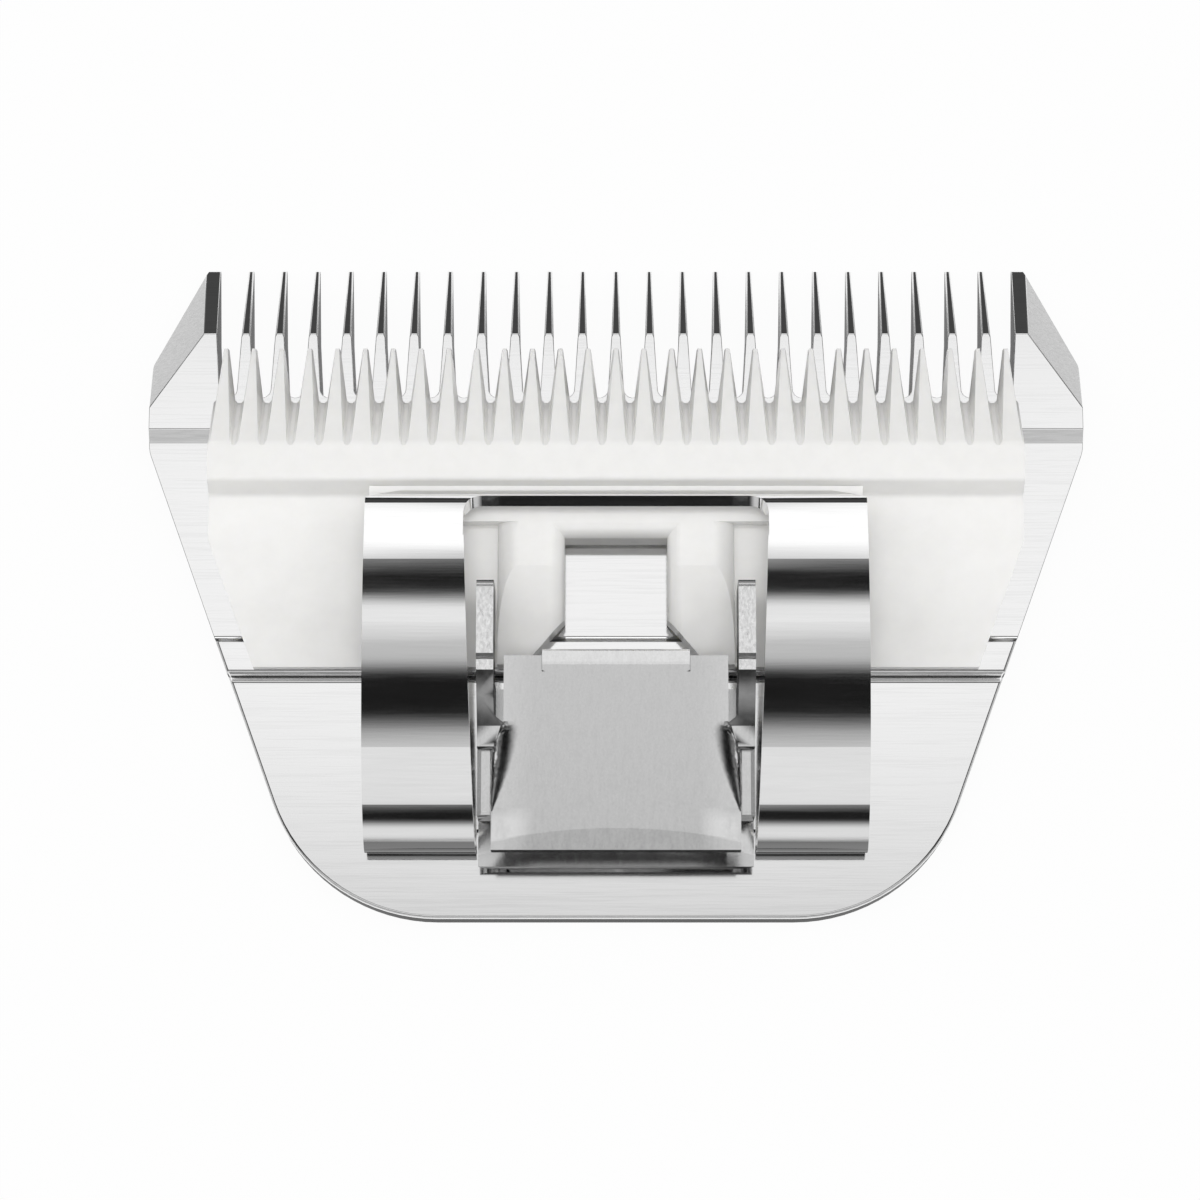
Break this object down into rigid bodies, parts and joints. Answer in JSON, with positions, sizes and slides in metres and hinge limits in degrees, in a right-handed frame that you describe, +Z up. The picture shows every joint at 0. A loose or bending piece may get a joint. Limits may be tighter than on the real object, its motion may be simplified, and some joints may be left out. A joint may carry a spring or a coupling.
{
  "type": "hair clipper blade",
  "caption": "Detachable wide clipper blade set: toothed steel comb, sliding white ceramic cutter, two-armed leaf spring and folded steel socket for the clipper's hinge.",
  "frame": {"origin": "bottom centre of the bounding box, in the flat underside of the comb", "axes": "+X along the tooth row, +Y toward the tooth tips, +Z up from the comb's underside to the cutter and the socket"},
  "size_m": [0.065, 0.0464, 0.011],
  "materials": {
    "ground_steel": "ground steel, fine lines along the tooth row",
    "white_ceramic": "smooth white zirconia",
    "spring_steel": "bright rolled strip, faint lines along the arms",
    "socket_steel": "satin grey plated sheet, fine grain",
    "screw_steel": "plain turned steel"
  },
  "bodies": {
    "blade": {"comb": "ground_steel", "tension_spring": "spring_steel", "blade_socket": "socket_steel", "screw_left": "screw_steel", "screw_right": "screw_steel"},
    "cutter": {"cutter": "white_ceramic"}
  },
  "joints": [
    {"name": "cutter_stroke", "type": "slide", "parent": "blade", "child": "cutter", "axis": [1, 0, 0], "range_m": [-0.0012, 0.0012]}
  ]
}
